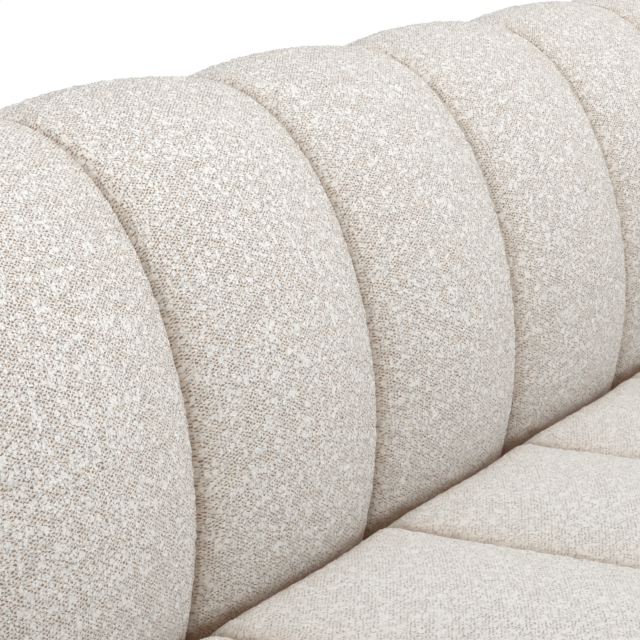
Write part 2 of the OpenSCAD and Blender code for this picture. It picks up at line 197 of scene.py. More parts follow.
# Springing: flat elastic belts stapled over the rails, front to back and arm to arm under
# the seat, and one behind each channel of the back. They are woven from black rubber yarn.

BELT_DARK = (0.012, 0.012, 0.014, 1.0)
BELT_PALE = (0.06, 0.06, 0.065, 1.0)


def belt_finish():
    finish = Finish("elastic_belt")
    place = finish.place()
    across = finish.node("TexWave", {"bands_direction": "X"}, {
        "Vector": place, "Scale": 80.0, "Distortion": 0.3})
    along = finish.node("TexWave", {"bands_direction": "Y"}, {
        "Vector": place, "Scale": 110.0, "Distortion": 0.3})
    weave = across * 0.5 + along * 0.5
    return finish.surface(finish.mixed(weave, BELT_DARK, BELT_PALE), 0.9 - weave * 0.15,
                          weave, 0.0006)


dress(["seat_webbing", "back_webbing"], belt_finish())

# Foam: a cut block under the seat with a skirt over the front rail, and sheets bent over
# the ribs of the back, corners and arms. The cells show as a fine open grain.

FOAM_PALE = (0.78, 0.68, 0.38, 1.0)
FOAM_DARK = (0.6, 0.48, 0.22, 1.0)


def foam_finish():
    finish = Finish("cut_foam")
    place = finish.place()
    cells = finish.node("TexVoronoi", None, {"Vector": place, "Scale": 650.0})
    cloud = finish.noise(place, 9.0, 3.0)
    shade = cells.between(0.1, 0.7) * 0.6 + cloud.between(0.3, 0.7) * 0.3
    return finish.surface(finish.mixed(shade, FOAM_PALE, FOAM_DARK), 0.95 - shade * 0.05,
                          cells, 0.0008)


dress(["seat_foam", "back_foam"]
      + [f"{sheet}_{side}" for side in SIDES for sheet in ("corner_foam", "arm_foam")],
      foam_finish())

# Back channels: sleeves of off-white boucle, stitched together side by side, stuffed and
# pulled over the roll of the back. The cloth is drawn in tight along each seam.

# Where the seams run round the roll, as in the construction: crest, widest point, depth
CREST_Z = 0.676
WIDEST_Z = 0.453
ROLL_T = 0.238
CREST_IN = 0.125
BELLY_H = 0.2008
TUCK_A = 65.0
# Points of the roll and of the straight part under it, before they are spaced evenly
ROLL_POINTS = 600
DROP_POINTS = 60
# How far a sleeve swells past its seams, as a share of its width, the power that shapes its
# crown, the share of the swell that it loses at the crest, and its depth behind the seams
SWELL_SHARE = 0.163
CROWN_POWER = 0.8
CREST_FLAT = 0.7
PAD_T = 0.030
# Height of the seat's seams, how much lower they are at the rear, and how far a seat sleeve
# swells past them, as a share of its width
SEAT_Z = 0.398
SEAT_DROP = 0.007
SEAT_SWELL_SHARE = 0.125
# At its rear end a seat sleeve is lower but fuller, as the back holds it down: its crown is
# this share of the usual one there, raised to this power
REAR_SHARE = 0.64
REAR_POWER = 0.45
# The cloth turns into a seam on this radius
SEAM_R = 0.008
# Over this length the swell is drawn in at the bottom edge, to this share of itself
HEM = 0.045
HEM_SHARE = 0.35
# Faces of a sleeve's ring: across its face, down a side and across its back. Its first
# ones at each seam lie at these distances from it, and the rings are a step apart
FACE_STEPS = 42
SIDE_STEPS = 2
BACK_STEPS = 4
AT_SEAM = (0.0, 0.0005, 0.0015, 0.003, 0.005, 0.008)
STEP = 0.0066
SEAM_GAP = 0.0005
# Points closer than this are one, where the sleeve is closed
MERGE = 0.00001
# A sleeve is cut this much flatter than it ends up, because it is blown up afterwards, in a
# simulation of this many frames
SLACK = 0.94
PUFF_FRAMES = 20
# A sleeve of the back may be blown up by no more than this
BACK_PUFF = 0.007
# The cloth behind the seams is cut this far from that of the face, and each sleeve's cloth
# elsewhere on a piece of this length
BEHIND_CUT = 0.3
CLOTH_LENGTH = 5.0
# The yarn's knots stand up by about this much
KNOT = 0.0004
# Over this distance from a seam or crevice the cloth is painted darker, as painted shade: by
# the first share at the crest, and by as much as both shares together at the seat
SHADE_SPAN = 0.004
SEAM_SHADE_LEAST = 0.3
SEAM_SHADE_MORE = 0.6
# The seat holds the sleeves of the back in: at its top they have lost this share of their
# swell, and less and less of it over this height above
HELD_IN = 0.32
HELD_RISE = 0.050
# The crevice behind the seat lies this far under the top of the seat, and the cloth of the
# back gets painted shade over this distance above it
CREVICE = 0.006
CREVICE_SHADE_EDGE = 0.003

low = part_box("back_channel_1")[0]
CHANNEL_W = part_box("back_channel_2")[0].x - low.x
BACK_SWELL = SWELL_SHARE * CHANNEL_W
SEAT_SWELL = SEAT_SWELL_SHARE * CHANNEL_W
BACK_Y = low.y + BACK_SWELL
FRAME_Z = low.z
BACK_COUNT = sum(name.startswith("back_channel_") for name in nodes)


def roll_at(angle, drop, k):
    """A point of the roll, k out from its seams. Angles run from under the inner face."""
    reach = np.where(angle > 90, ROLL_T - CREST_IN, CREST_IN)
    rise = np.where(angle < 0, BELLY_H, CREST_Z - WIDEST_Z)
    turn = np.radians(angle)
    return (CREST_IN - (reach + k) * np.cos(turn),
            WIDEST_Z + (rise + k) * np.sin(turn) - drop * (WIDEST_Z - FRAME_Z))


def even_steps(values, points, step):
    """The values along a path, taken at even steps of its length, and those lengths."""
    lengths = np.r_[0.0, np.cumsum(np.hypot(*np.diff(points, axis=0).T))]
    count = int(round(lengths[-1] / step))
    marks = np.linspace(0.0, lengths[-1], count + 1)
    return [np.interp(marks, lengths, v) for v in values], marks


def roll_rings():
    """Angle, drop and length along the roll of each ring of a sleeve."""
    angle = np.r_[np.linspace(-TUCK_A, 180.0, ROLL_POINTS), np.full(DROP_POINTS, 180.0)]
    drop = np.r_[np.zeros(ROLL_POINTS), np.linspace(0.0, 1.0, DROP_POINTS + 1)[1:]]
    return even_steps([angle, drop], np.c_[roll_at(angle, drop, BACK_SWELL / 2)], STEP)


def crown(q):
    """Fullness of a stuffed sleeve, at q from -1 at one seam to 1 at the other."""
    return np.clip(1 - q * q, 0.0, 1.0) ** CROWN_POWER


def crest_share(angle):
    """Share of its swell that a sleeve keeps at an angle round the roll."""
    return 1 - CREST_FLAT * np.clip(np.sin(np.radians(angle)), 0.0, 1.0) ** 2


def ring_shares(column, width):
    """Where a column of the ring lies: across the face, and how far in behind the seams."""
    half = FACE_STEPS // 2
    near = np.linspace(AT_SEAM[-1], width / 2, half - len(AT_SEAM) + 2)[1:]
    left = np.r_[AT_SEAM, near] / (width / 2) - 1
    face = np.r_[left, -left[-2::-1]]
    marks = FACE_STEPS + np.cumsum([0, SIDE_STEPS, BACK_STEPS, SIDE_STEPS])
    q = np.where(column <= FACE_STEPS, np.interp(column, np.arange(FACE_STEPS + 1), face),
                 np.interp(column, marks, [1, 1, -1, -1]))
    return q, np.interp(column, marks, [0, 1, 1, 0])


def seam_dip(q, width):
    """How far the cloth has turned in at q, by its distance from the nearest seam."""
    left = np.clip(SEAM_R - (1 - np.abs(q)) * width / 2, 0.0, SEAM_R)
    return SEAM_R - np.sqrt(SEAM_R ** 2 - left ** 2)


def drawn_in(q, width, share):
    """Painted shade beside a seam, up to a share of it."""
    return share * np.exp((np.abs(q) - 1) * width / 2 / SHADE_SPAN)


def crevice_shade(q, z):
    """Painted shade on the cloth of the back above the crevice behind the seat."""
    seat = SEAT_Z - SEAT_DROP + SEAT_SWELL * REAR_SHARE * crown(q) ** REAR_POWER - CREVICE
    return np.exp(np.clip(seat - z, None, 0.0) / CREVICE_SHADE_EDGE)


def seam_shade_share(z):
    """How much painted shade a seam of the back gets: least at the crest, most at the seat.
    """
    down = np.clip((CREST_Z - z) / (CREST_Z - SEAT_Z), 0.0, 1.0)
    return SEAM_SHADE_LEAST + SEAM_SHADE_MORE * down ** 1.5


def held_share(angle):
    """Share of its swell that a sleeve keeps above the seat, on the inner face only."""
    above = np.clip(roll_at(angle, 0.0, 0.0)[1] - SEAT_Z - SEAT_SWELL / 2, 0.0, None)
    return np.where(angle < 90, 1 - HELD_IN * np.exp(-above / HELD_RISE), 1.0)


def hem_share(length, total):
    """Share of its swell that a sleeve keeps near its bottom edge."""
    near = np.clip(1 - (total - length) / HEM, 0.0, 1.0)
    return HEM_SHARE + (1 - HEM_SHARE) * np.sqrt(1 - near * near)


def grid_sleeve(name, rings, place):
    """A closed sleeve made from a grid that is rolled up: place puts its points, spreads its
    cloth and gives its painted shade beside the seams, and the share of painted darker,
    flatter tone and lower relief on the seat's top."""
    columns = FACE_STEPS + 2 * SIDE_STEPS + BACK_STEPS
    bpy.ops.object.select_all(action="DESELECT")
    bpy.ops.mesh.primitive_grid_add(
        x_subdivisions=columns, y_subdivisions=len(rings) - 1, size=1)
    piece = bpy.context.object
    piece.name = piece.data.name = name
    mesh = piece.data
    flat = np.empty(len(mesh.vertices) * 3)
    mesh.vertices.foreach_get("co", flat)
    flat = flat.reshape(-1, 3)
    column = np.rint((flat[:, 0] + 0.5) * columns)
    ring = np.rint((flat[:, 1] + 0.5) * (len(rings) - 1)).astype(int)
    points, spread, drawn, seat_top = place(column, ring)
    mesh.vertices.foreach_set("co", points.ravel())
    for kept, value in (("drawn", drawn), ("seat_top", seat_top),
                        ("outside", np.where(column <= FACE_STEPS, 1.0, 0.0))):
        mesh.attributes.new(kept, "FLOAT", "POINT").data.foreach_set("value", value)
    corner = np.empty(len(mesh.loops), int)
    mesh.loops.foreach_get("vertex_index", corner)
    mesh.uv_layers[0].name = "cloth"
    mesh.uv_layers[0].data.foreach_set("uv", spread[corner].ravel())
    held = piece.vertex_groups.new(name="held")
    # All but the face is held, up to the last step of the turn at each seam
    turned = len(AT_SEAM) - 2
    free = (column > turned) & (column < FACE_STEPS - turned)
    free = free & (ring > 0) & (ring < len(rings) - 1)
    held.add([int(i) for i in np.flatnonzero(~free)], 1.0, "REPLACE")
    bpy.ops.object.mode_set(mode="EDIT")
    bpy.ops.mesh.select_all(action="SELECT")
    bpy.ops.mesh.remove_doubles(threshold=MERGE)
    bpy.ops.mesh.select_all(action="DESELECT")
    bpy.ops.mesh.select_mode(type="EDGE")
    bpy.ops.mesh.select_non_manifold()
    bpy.ops.mesh.edge_face_add()
    bpy.ops.mesh.select_all(action="SELECT")
    bpy.ops.mesh.normals_make_consistent(inside=False)
    bpy.ops.object.mode_set(mode="OBJECT")
    return piece


def coordinates(piece):
    flat = np.empty(len(piece.data.vertices) * 3)
    piece.data.vertices.foreach_get("co", flat)
    return flat.reshape(-1, 3)


def puff(piece, most):
    """Blows a sleeve up as cloth that is held along its seams, by no more than most."""
    before = coordinates(piece)
    cloth = piece.modifiers.new("puff", "CLOTH")
    cloth.settings.quality = 6
    cloth.settings.mass = 0.25
    cloth.settings.tension_stiffness = 18
    cloth.settings.compression_stiffness = 18
    cloth.settings.shear_stiffness = 8
    cloth.settings.bending_stiffness = 0.6
    cloth.settings.vertex_group_mass = "held"
    cloth.settings.use_pressure = True
    cloth.settings.uniform_pressure_force = 4
    cloth.settings.effector_weights.gravity = 0
    cloth.collision_settings.use_collision = False
    cloth.point_cache.frame_end = PUFF_FRAMES
    scene = bpy.context.scene
    for step in range(1, PUFF_FRAMES + 1):
        scene.frame_set(step)
    bpy.context.view_layer.objects.active = piece
    bpy.ops.object.modifier_apply(modifier=cloth.name)
    scene.frame_set(1)
    after = coordinates(piece)
    moved = after - before
    length = np.linalg.norm(moved, axis=1)[:, None]
    print(piece.name, "puffed by", round(float(length.max()) * 1000, 1), "mm at most,",
          round(float(length.mean()) * 1000, 1), "mm on average")
    after = before + moved * np.minimum(1.0, most / np.maximum(length, 1e-9))
    piece.data.vertices.foreach_set("co", after.ravel())
    piece.data.update()


def refined(piece):
    """Divides a blown-up sleeve once more, so that its outline is smooth."""
    finer = piece.modifiers.new("finer", "SUBSURF")
    finer.levels = finer.render_levels = 1
    bpy.context.view_layer.objects.active = piece
    bpy.ops.object.modifier_apply(modifier=finer.name)


def stuffed(rings, place, most):
    """A sleeve, blown up by no more than most."""
    piece = grid_sleeve("sleeve", rings, place)
    puff(piece, most)
    refined(piece)
    return piece


def knotted(piece, chance):
    """Raises and sinks the face of a sleeve a little at random, as its knots do."""
    values = {}
    for name in ("drawn", "outside"):
        values[name] = np.empty(len(piece.data.vertices))
        piece.data.attributes[name].data.foreach_get("value", values[name])
    outward = np.empty(len(piece.data.vertices) * 3)
    piece.data.vertices.foreach_get("normal", outward)
    height = KNOT * chance.standard_normal(len(piece.data.vertices))
    height = height * values["outside"] * (1 - values["drawn"]).clip(0.0, 1.0)
    points = coordinates(piece) + height[:, None] * outward.reshape(-1, 3)
    piece.data.vertices.foreach_set("co", points.ravel())
    piece.data.update()


def copied(piece, name, move, seed):
    """Its own copy of a sleeve, moved into place, with its cloth cut elsewhere."""
    chance = np.random.default_rng(seed)
    other = piece.copy()
    other.data = piece.data.copy()
    other.name = other.data.name = name
    bpy.context.collection.objects.link(other)
    other.data.transform(move)
    if move.determinant() < 0:
        other.data.flip_normals()
    uv = np.empty(len(other.data.loops) * 2)
    other.data.uv_layers[0].data.foreach_get("uv", uv)
    uv = uv.reshape(-1, 2) + chance.uniform(0.0, CLOTH_LENGTH, 2)
    other.data.uv_layers[0].data.foreach_set("uv", uv.ravel())
    knotted(other, chance)
    return other


def covered(piece, node):
    """Gives the sleeve its cloth and smooth shading, hides the construction's node in its
    place and hangs it under the root.
    """
    piece.data.materials.clear()
    piece.data.materials.append(boucle)
    piece.data.shade_smooth()
    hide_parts(node)
    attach(piece, "root")


# Lay of the weave: angle from across the sleeve, and pitch in millimetres
WEAVE = ((61.0, 1.95), (120.0, 1.95))
# The yarn strays from it by up to about half this many millimetres
STRAY = 2.8
# Nubs to a millimetre of cloth, depth of its relief, and its roughness
NUBS = 0.46
RELIEF = 0.0016
ROUGH = 0.93
HOLE_DARK = (0.31, 0.20, 0.13, 1.0)
HOLE_PALE = (0.43, 0.31, 0.22, 1.0)
GROUND_DARK = (0.725, 0.65, 0.575, 1.0)
GROUND_PALE = (0.84, 0.81, 0.77, 1.0)
NUB_DARK = (0.78, 0.758, 0.728, 1.0)
NUB_PALE = (0.85, 0.84, 0.82, 1.0)
# Painted shade: the seat's upward faces tend to this flat, darker colour, for how the light
# from above falls on them
PAINTED_TOP_SHADE = (0.545, 0.535, 0.51, 1.0)
# Painted warm shade in the valleys beside a seam, spread the wider the lower this power is
VALLEY_SHADE_TINT = (1.0, 0.95, 0.875, 1.0)
VALLEY_SHADE_POWER = 0.35
# Painted shade: the cloth beside seams and crevices is mixed towards this dark brown
SEAM_SHADE_COLOUR = (0.33, 0.185, 0.095, 1.0)


def boucle_finish():
    """Boucle: an open weave with small dark holes, and pale nubs of yarn lying on it, with
    painted shade along its seams and crevices and a painted flatter, darker tone on the
    seat's top.
    """
    finish = Finish("boucle")
    place = finish.node("UVMap", {"uv_map": "cloth"})
    mm = finish.node("VectorMath", {"operation": "SCALE"}, {0: place, "Scale": 1000.0})
    drift = finish.noise(mm, 0.35, 2.0, output="Color")
    drift = finish.node("VectorMath", {"operation": "SUBTRACT"},
                        {0: drift, 1: (0.5, 0.5, 0.5)})
    drift = finish.node("VectorMath", {"operation": "SCALE"}, {0: drift, "Scale": STRAY})
    yarn = finish.node("VectorMath", {"operation": "ADD"}, {0: mm, 1: drift})
    waves = []
    for angle, pitch in WEAVE:
        turn = math.radians(angle)
        rate = 2 * math.pi / pitch
        waves.append(finish.node(
            "VectorMath", {"operation": "DOT_PRODUCT"},
            {0: yarn, 1: (rate * math.cos(turn), rate * math.sin(turn), 0.0)},
            "Value").cosine())
    fuzz = finish.noise(mm, 1.1, 2.0, 0.8)
    # The first attribute paints shade beside the seams and crevices; the second paints the
    # seat's upward faces a flatter, darker tone and lowers their relief
    drawn = finish.node("Attribute", {"attribute_name": "drawn"}, None, "Fac")
    seat_top = finish.node("Attribute", {"attribute_name": "seat_top"}, None, "Fac")
    between_yarns = (1 - waves[0]) * (1 - waves[1]) * 0.25
    # Beside seams the painted shade also widens the dark holes a little
    gap = (between_yarns * 0.9 + fuzz * 0.85 + drawn * 0.15).between(0.70, 0.98)
    stretched = finish.stretched(yarn, (1.0, 0.8, 1.0))
    lump = finish.node("TexVoronoi", None, {"Vector": stretched, "Scale": NUBS})
    size = finish.node("SeparateColor", None, {"Color": finish.node(
        "TexVoronoi", None, {"Vector": stretched, "Scale": NUBS}, "Color")})
    nubs = (size * 0.6 + fuzz * 0.35 - lump).between(-0.24, 0.12)
    bare = gap * (1 - nubs * 0.9)
    height = (nubs * 0.35 - bare * 0.7 + fuzz * 0.4) * (1 - seat_top)
    shade = finish.noise(mm, 0.045, 2.0)
    holes = finish.mixed(shade.between(0.3, 0.7), HOLE_DARK, HOLE_PALE)
    cloth = finish.mixed(fuzz.between(0.34, 0.66), GROUND_DARK, GROUND_PALE)
    pale = finish.mixed(fuzz.between(0.30, 0.62), NUB_DARK, NUB_PALE)
    open_cloth = finish.mixed(bare, finish.mixed(nubs, cloth, pale), holes)
    # Painted shade: the seat's upward faces tend to a flat, darker colour
    open_cloth = finish.mixed(seat_top, open_cloth, PAINTED_TOP_SHADE)
    # Painted warm shade in the valleys beside the seams
    open_cloth = finish.node("Mix", {"data_type": "RGBA", "blend_type": "MULTIPLY"}, {
        0: drawn ** VALLEY_SHADE_POWER, 6: open_cloth, 7: VALLEY_SHADE_TINT}, 2)
    # Painted shade: dark brown along the seams and crevices
    return finish.surface(finish.mixed(drawn, open_cloth, SEAM_SHADE_COLOUR), ROUGH, height, RELIEF,
                          {"Sheen Weight": 0.4, "Sheen Roughness": 0.5,
                           "Sheen Tint": (1.0, 0.99, 0.97, 1.0),
                           "Specular IOR Level": 0.15})


boucle = boucle_finish()
(ring_angle, ring_drop), ring_length = roll_rings()


def straight_place(width):
    """Points of a straight sleeve whose inner face is at y = 0, half a width each way."""
    def place(column, ring):
        q, behind = ring_shares(column, width)
        swell = SLACK * SWELL_SHARE * width * crown(q) * crest_share(ring_angle[ring])
        swell = swell * held_share(ring_angle[ring])
        swell = swell * hem_share(ring_length[ring], ring_length[-1])
        k = np.where(behind > 0, -SEAM_R - behind * (PAD_T - SEAM_R),
                     swell - seam_dip(q, width))
        y, z = roll_at(ring_angle[ring], ring_drop[ring], k)
        x = q * (width - SEAM_GAP) / 2
        across = x + np.where(column > FACE_STEPS, BEHIND_CUT, 0.0)
        # Painted shade beside the seams, and above the crevice behind the seat
        drawn = np.maximum(drawn_in(q, width, seam_shade_share(z)),
                           np.where(ring_angle[ring] < 90, crevice_shade(q, z), 0.0))
        return np.c_[x, y, z], np.c_[across, ring_length[ring]], drawn, 0 * q
    return place


sleeve = stuffed(ring_length, straight_place(CHANNEL_W), BACK_PUFF)
for number in range(1, BACK_COUNT + 1):
    x = (number - 0.5 - BACK_COUNT / 2) * CHANNEL_W
    piece = copied(sleeve, f"back_sleeve_{number}", Matrix.Translation((x, BACK_Y, 0.0)),
                   seed=number)
    covered(piece, f"back_channel_{number}")
bpy.data.objects.remove(sleeve)

# Corner channels: wedge-shaped sleeves that fan round the two back corners. They are
# narrow over the seat and wide outside, and swell with their width.

HALF_W = BACK_COUNT / 2 * CHANNEL_W
ARM_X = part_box("arm_facing_right")[0].x
CORNER_R = ARM_X - HALF_W
AXIS_Y = BACK_Y - CORNER_R
CORNER_COUNT = sum(name.startswith("corner_channel_left_") for name in nodes)
WEDGE_A = math.pi / 2 / CORNER_COUNT
# The other sleeves and the panels may be blown up by no more than this
PUFF = 0.006


def wedge_place(column, ring):
    """Points of the first wedge, about the corner's axis."""
    angle, drop = ring_angle[ring], ring_drop[ring]
    seam_r = CORNER_R + roll_at(angle, drop, 0.0)[0]
    q, behind = ring_shares(column, CHANNEL_W)
    swell = SLACK * SWELL_SHARE * seam_r * WEDGE_A * crown(q) * crest_share(angle)
    swell = swell * held_share(angle) * hem_share(ring_length[ring], ring_length[-1])
    k = np.where(behind > 0, -SEAM_R - behind * (PAD_T - SEAM_R),
                 swell - seam_dip(q, CHANNEL_W))
    y, z = roll_at(angle, drop, k)
    r = CORNER_R + y
    turn = WEDGE_A / 2 + q * (WEDGE_A / 2 - SEAM_GAP / 2 / r)
    across = q * seam_r * WEDGE_A / 2 + np.where(column > FACE_STEPS, BEHIND_CUT, 0.0)
    # Painted shade beside the seams, and above the crevice behind the seat
    drawn = np.maximum(drawn_in(q, seam_r * WEDGE_A, seam_shade_share(z)),
                       np.where(angle < 90, crevice_shade(q, z), 0.0))
    return (np.c_[r * np.sin(turn), r * np.cos(turn), z],
            np.c_[across, ring_length[ring]], drawn, 0 * q)


def mirrored(side):
    """A mirror image for the left side, and no change for the right."""
    return Matrix.Scale(-1.0 if side == "left" else 1.0, 4, (1, 0, 0))


sleeve = stuffed(ring_length, wedge_place, PUFF)
for side in SIDES:
    for number in range(1, CORNER_COUNT + 1):
        turn = Matrix.Rotation(-WEDGE_A * (number - 1), 4, "Z")
        move = mirrored(side) @ Matrix.Translation((HALF_W, AXIS_Y, 0.0)) @ turn
        piece = copied(sleeve, f"corner_sleeve_{side}_{number}", move,
                       seed=20 + 2 * number + SIDES.index(side))
        covered(piece, f"corner_channel_{side}_{number}")
bpy.data.objects.remove(sleeve)

# Arm channels: the same sleeves, a little narrower, over the arms. A padded panel closes
# the front of each arm, with its edge rolled over and stitched round.

ARM_COUNT = sum(name.startswith("arm_channel_left_") for name in nodes)
PANEL_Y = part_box("arm_facing_right")[1].y
ARM_PITCH = (AXIS_Y - PANEL_Y) / ARM_COUNT
# The panel's mesh has faces of this size. It is held over this band at its rear, which gets
# painted shade by this share, and its cloth is cut from this place
PANEL_STEP = 0.005
PANEL_HELD = 0.014
PANEL_SHADE = 0.6
PANEL_CUT = (2.0, 3.0)

sleeve = stuffed(ring_length, straight_place(ARM_PITCH), PUFF)
for side in SIDES:
    for number in range(1, ARM_COUNT + 1):
        y = AXIS_Y - (number - 0.5) * ARM_PITCH
        move = mirrored(side) @ Matrix.Translation((ARM_X, y, 0.0)) @ Matrix.Rotation(
            -math.pi / 2, 4, "Z")
        piece = copied(sleeve, f"arm_sleeve_{side}_{number}", move,
                       seed=30 + 2 * number + SIDES.index(side))
        covered(piece, f"arm_channel_{side}_{number}")
bpy.data.objects.remove(sleeve)


def panel(side):
    """A copy of the construction's panel, remeshed finely and blown up a little."""
    node = nodes[f"arm_facing_{side}"]
    piece = node.copy()
    piece.data = node.data.copy()
    piece.name = piece.data.name = f"arm_panel_{side}"
    piece.parent = None
    for key in list(piece.keys()):
        del piece[key]
    bpy.context.collection.objects.link(piece)
    bpy.ops.object.select_all(action="DESELECT")
    piece.select_set(True)
    bpy.context.view_layer.objects.active = piece
    bpy.ops.object.mode_set(mode="EDIT")
    bpy.ops.mesh.select_all(action="SELECT")
    bpy.ops.mesh.remove_doubles(threshold=MERGE)
    bpy.ops.object.mode_set(mode="OBJECT")
    fine = piece.modifiers.new("fine", "REMESH")
    fine.mode = "VOXEL"
    fine.voxel_size = PANEL_STEP
    bpy.ops.object.modifier_apply(modifier=fine.name)
    soften = piece.modifiers.new("soften", "SMOOTH")
    soften.iterations = 12
    soften.factor = 0.5
    bpy.ops.object.modifier_apply(modifier=soften.name)
    points = coordinates(piece)
    held = piece.vertex_groups.new(name="held")
    rear = np.flatnonzero(points[:, 1] > PANEL_Y - PANEL_HELD)
    held.add([int(i) for i in rear], 1.0, "REPLACE")
    puff(piece, PUFF)
    for layer in list(piece.data.uv_layers):
        piece.data.uv_layers.remove(layer)
    layer = piece.data.uv_layers.new(name="cloth")
    corner = np.empty(len(piece.data.loops), int)
    piece.data.loops.foreach_get("vertex_index", corner)
    points = coordinates(piece)
    spread = points[:, [0, 2]] + np.array(PANEL_CUT)
    layer.data.foreach_set("uv", spread[corner].ravel())
    # Painted shade at the panel's rear, where it meets the arm's channels
    drawn = PANEL_SHADE * np.exp((points[:, 1] - PANEL_Y) / SHADE_SPAN)
    piece.data.attributes.new("drawn", "FLOAT", "POINT").data.foreach_set("value", drawn)
    return piece


for side in SIDES:
    covered(panel(side), f"arm_facing_{side}")

# Seat channels: sleeves over the seat foam, each in line with a channel of the back. Their
# rear ends are tucked in under it, and their front ends roll over the edge to the frame.

# As in the construction: depth of the seat, where its seams are highest, radii of its front
# and rear edges, how far it reaches in under the back and down there, its padding, the arm
# panel's thickness and the gap to the arms
SEAT_D = 0.640
HIGH_AT = 0.480
NOSE_R = 0.090
REAR_R = 0.032
REAR_IN = 0.010
REAR_SKIRT = 0.6 * REAR_R
SEAT_PAD = 0.025
PANEL_T = 0.030
WRAP_GAP = 0.0006
# Points along the seat before they are spaced evenly
SEAT_POINTS = 1500
# The seams of the seat get this much painted shade, and more by the second share at the back,
# which fades over this distance from it
SEAT_SEAM_SHADE_LEAST = 0.25
SEAT_SEAM_SHADE_MORE = 0.6
SEAT_SEAM_SHADE_TO = 0.250
# The crown of a sleeve is the usual one beyond this distance from its rear end
REAR_RUN = 0.120
# Its rear edge is rounded more tightly between the seams, by this share
REAR_TIGHT = 0.45
# The seat's upward faces lose relief and take the painted flat, darker top colour, by this
# share
SEAT_TOP_SHARE = 0.55
ARM_SWELL = SWELL_SHARE * ARM_PITCH
SEAT_SIDE = ARM_X - SEAM_GAP - WRAP_GAP


def seat_height(d):
    return SEAT_Z - SEAT_DROP * np.clip(1 - d / HIGH_AT, 0.0, None) ** 2


def seat_at(u, lead, rear_r=REAR_R):
    """A point of the seat's seam line and the way it swells there. u counts its parts:
    rear skirt, rear edge, top, front edge and front."""
    c = lead - REAR_IN + rear_r
    top = seat_height(c)
    flat_end = SEAT_D - NOSE_R
    rear = np.radians(180 - 90 * np.clip(u - 1, 0, 1))
    nose = np.radians(90 - 90 * np.clip(u - 3, 0, 1))
    d = c + rear_r * np.cos(rear)
    z = top - rear_r * (1 - np.sin(rear)) - REAR_SKIRT * (1 - np.clip(u, 0, 1))
    run = np.clip(u - 2, 0, 1)
    d = np.where(u > 2, c + (flat_end - c) * run, d)
    z = np.where(u > 2, seat_height(d), z)
    d = np.where(u > 3, flat_end + NOSE_R * np.cos(nose), d)
    z = np.where(u > 3, SEAT_Z - NOSE_R * (1 - np.sin(nose)), z)
    z = np.where(u > 4, SEAT_Z - NOSE_R - (SEAT_Z - NOSE_R - FRAME_Z) * (u - 4), z)
    turn = np.where(u > 3, nose, rear)
    return d, z, np.cos(turn), np.sin(turn)


def seat_rings():
    u = np.linspace(0.0, 5.0, SEAT_POINTS)
    d, z, _, _ = seat_at(u, BACK_SWELL / 2)
    (rings,), lengths = even_steps([u], np.c_[d, z], STEP)
    return rings, lengths


seat_u, seat_length = seat_rings()


def back_lead(x):
    """How far the back's channels, or the corner fan, stand out over the seat at x."""
    place = np.abs(x) / CHANNEL_W + BACK_COUNT / 2
    lead = BACK_SWELL * (1 - HELD_IN) * crown(2 * (place - np.floor(place)) - 1)
    fan_r = CORNER_R * (1 - SWELL_SHARE * WEDGE_A * (1 - HELD_IN))
    past = np.clip(np.abs(x) - HALF_W, 0.0, fan_r)
    return np.where(np.abs(x) > HALF_W, CORNER_R - np.sqrt(fan_r ** 2 - past ** 2), lead)


def arm_lead(d):
    """How far the arm's channels stand out over the side of the seat at d from the back."""
    along = (SEAT_D - PANEL_T - d) / ARM_PITCH
    q = 2 * (along - np.floor(along)) - 1
    return np.where(d > SEAT_D - PANEL_T, 0.0, ARM_SWELL * (1 - HELD_IN) * crown(q))


def seat_place(x0, x1, at_arm):
    """Points of a seat sleeve between two seams. At an arm its side follows the arm."""
    def place(column, ring):
        q, behind = ring_shares(column, CHANNEL_W)
        u, length = seat_u[ring], seat_length[ring]
        lead = back_lead(x0 + (x1 - x0) * (q + 1) / 2)
        d, z, out, up = seat_at(u, lead, REAR_R * (1 - REAR_TIGHT * crown(q)))
        at_rear = np.clip(1 - (d - lead) / REAR_RUN, 0.0, 1.0) ** 2
        full = crown(q) + at_rear * (REAR_SHARE * crown(q) ** REAR_POWER - crown(q))
        swell = SLACK * SEAT_SWELL * full * hem_share(length, seat_length[-1])
        k = np.where(behind > 0, -SEAM_R - behind * (SEAT_PAD - SEAM_R),
                     swell - seam_dip(q, CHANNEL_W))
        edge = SEAT_SIDE - arm_lead(d) if at_arm else x1
        x = x0 + (edge - x0) * (q + 1) / 2
        push = np.where(k > 0, np.clip(out, 0.0, None), out) * k
        across = (x1 - x0) / 2 * q + np.where(column > FACE_STEPS, BEHIND_CUT, 0.0)
        # Painted shade beside the seat's seams, heavier at the back
        seat_seam_shade = SEAT_SEAM_SHADE_LEAST + SEAT_SEAM_SHADE_MORE * np.clip(1 - d / SEAT_SEAM_SHADE_TO, 0.0, 1.0)
        # Painted shade where the seat runs in under the back
        under_back_shade = np.exp(np.clip(lead - d, None, 0.0) / SHADE_SPAN)
        drawn = np.maximum(drawn_in(q, CHANNEL_W, seat_seam_shade), under_back_shade)
        # The last value is the share of the painted darker, flatter tone, on faces that look
        # up
        return (np.c_[x, BACK_Y - d - push, z + up * k], np.c_[across, length], drawn,
                SEAT_TOP_SHARE * np.clip(up, 0.0, 1.0) ** 2)
    return place


sleeve = stuffed(seat_length, seat_place(
    SEAM_GAP / 2, CHANNEL_W - SEAM_GAP / 2, at_arm=False), PUFF)
for number in range(2, BACK_COUNT):
    x = (number - 1 - BACK_COUNT / 2) * CHANNEL_W
    piece = copied(sleeve, f"seat_sleeve_{number}", Matrix.Translation((x, 0.0, 0.0)),
                   seed=50 + number)
    covered(piece, f"seat_channel_{number}")
bpy.data.objects.remove(sleeve)

